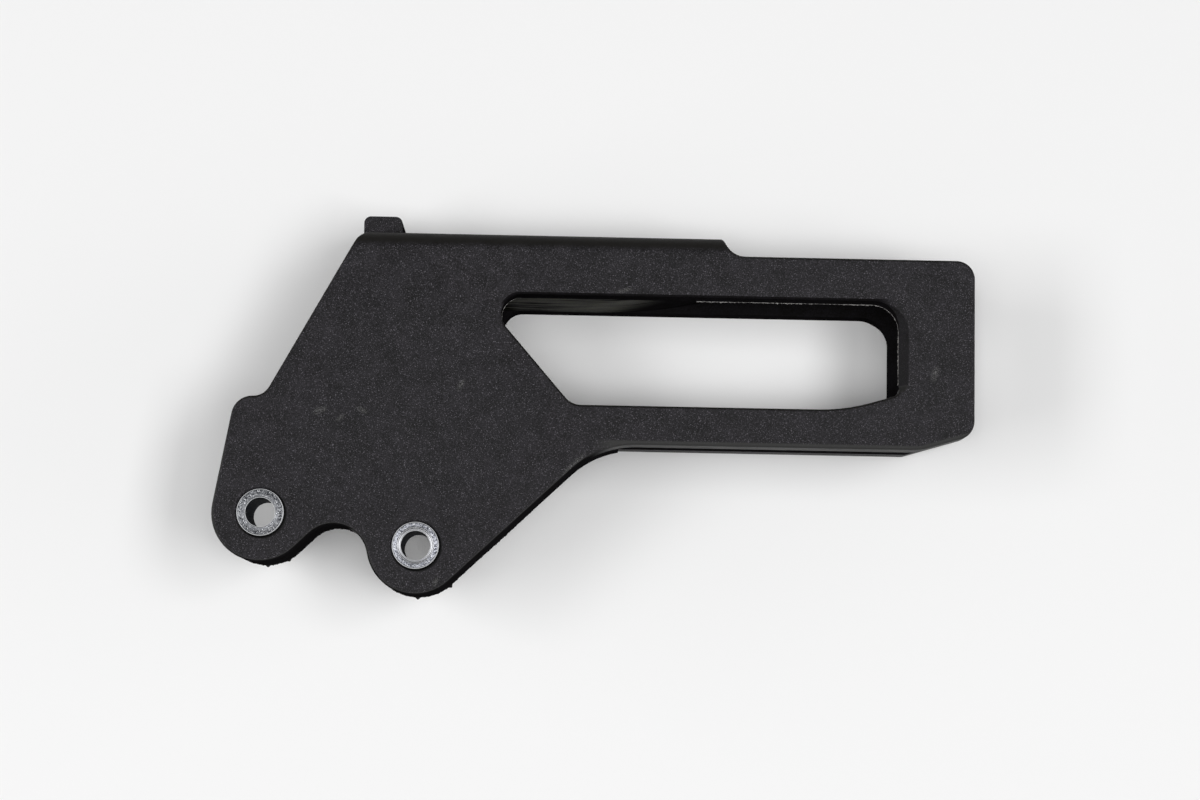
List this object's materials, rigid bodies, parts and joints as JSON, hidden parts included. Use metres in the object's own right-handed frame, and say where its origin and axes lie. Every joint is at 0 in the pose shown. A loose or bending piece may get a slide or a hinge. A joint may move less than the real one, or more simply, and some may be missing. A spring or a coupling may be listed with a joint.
{
  "type": "motorcycle chain guide",
  "caption": "Moulded plastic motorcycle chain guide with a chain tunnel, a wear block, windowed tail plates and steel mounting bushes.",
  "frame": {"origin": "on the front bush's axis, in the face of the mounting block that lies against the swingarm lug", "axes": "+X along the chain towards the sprocket, +Y from the bolts to the wear block, +Z along the bolts, out of the guide's outer face"},
  "size_m": [0.1635, 0.0829, 0.0326],
  "materials": {
    "black_moulding": "fine grained moulding, lightly scuffed",
    "plated_steel": "turned, zinc plated"
  },
  "bodies": {
    "root": {"guide_body": "black_moulding", "front_bush": "plated_steel", "rear_bush": "plated_steel"}
  },
  "joints": []
}
